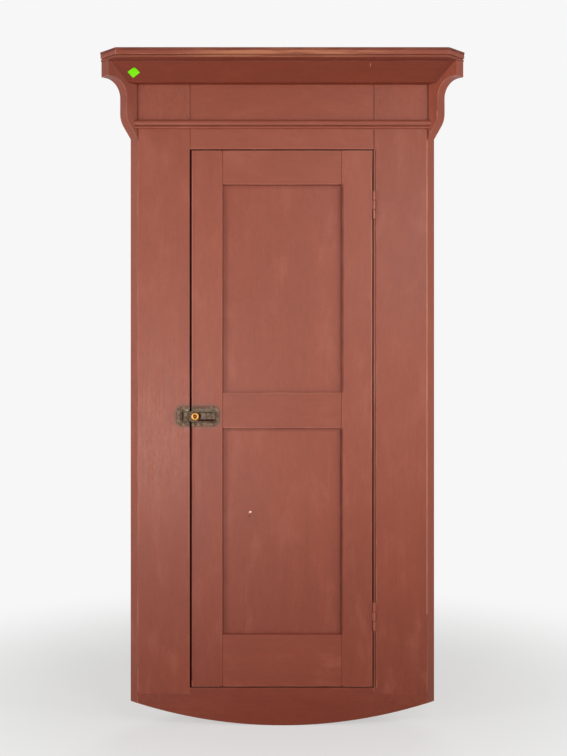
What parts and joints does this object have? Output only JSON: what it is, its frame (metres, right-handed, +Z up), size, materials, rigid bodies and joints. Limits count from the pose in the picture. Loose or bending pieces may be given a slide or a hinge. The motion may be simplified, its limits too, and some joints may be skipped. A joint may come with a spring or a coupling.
{
  "type": "hanging corner cupboard",
  "caption": "Painted wooden hanging corner cupboard with a bracketed cornice, curved apron, panelled hinged door and slide latch over shelved storage.",
  "frame": {"origin": "on the upright line where the two room walls meet, level with the lowest point of the curved apron", "axes": "+Z up, front faces -Y, +X to the right as seen from the front; the two walls lie at 45 degrees to X and Y"},
  "size_m": [0.6452, 0.3539, 1.202],
  "materials": {
    "painted_wood": "old satin red-brown paint over pine, rubbed at the edges",
    "bare_wood": "unpainted old pine, dry and darkened",
    "painted_iron": "iron painted with the case",
    "dark_iron": "worn dark iron with paint traces",
    "brass": "rubbed bright brass"
  },
  "bodies": {
    "case": {"left_wall_front_board": "painted_wood", "right_wall_front_board": "painted_wood", "left_wall_rear_board": "bare_wood", "right_wall_rear_board": "bare_wood", "latch_side_stile": "painted_wood", "hinge_side_stile": "painted_wood", "top_rail": "painted_wood", "apron": "painted_wood", "waist_moulding": "painted_wood", "crown_moulding": "painted_wood", "top_board": "painted_wood", "cornice_edge_front": "painted_wood", "cornice_edge_left": "painted_wood", "cornice_edge_right": "painted_wood", "bottom_board": "bare_wood", "shelf_lower": "bare_wood", "shelf_middle": "bare_wood", "shelf_upper": "bare_wood", "left_shelf_cleats": "bare_wood", "right_shelf_cleats": "bare_wood", "door_stop": "painted_wood", "frame_hinge_leaves": "painted_iron", "hinge_pins": "dark_iron", "frame_hinge_screws": "dark_iron", "latch_keeper": "dark_iron"},
    "door": {"door_latch_stile": "painted_wood", "door_hinge_stile": "painted_wood", "door_top_rail": "painted_wood", "door_mid_rail": "painted_wood", "door_bottom_rail": "painted_wood", "door_upper_panel": "painted_wood", "door_lower_panel": "painted_wood", "door_hinge_leaves": "painted_iron", "door_hinge_screws": "dark_iron", "latch_plate": "dark_iron"},
    "latch_bolt": {"latch_bolt": "dark_iron", "latch_knob": "brass", "knob_rivet": "dark_iron"}
  },
  "joints": [
    {"name": "door_hinge", "type": "hinge", "parent": "case", "child": "door", "pos_m": [0.1655, -0.29078, 0.5532], "axis": [0, 0, 1], "range_deg": [0, 135]},
    {"name": "latch_slide", "type": "slide", "parent": "door", "child": "latch_bolt", "axis": [1, 0, 0], "range_m": [-0.008, 0.013]}
  ]
}
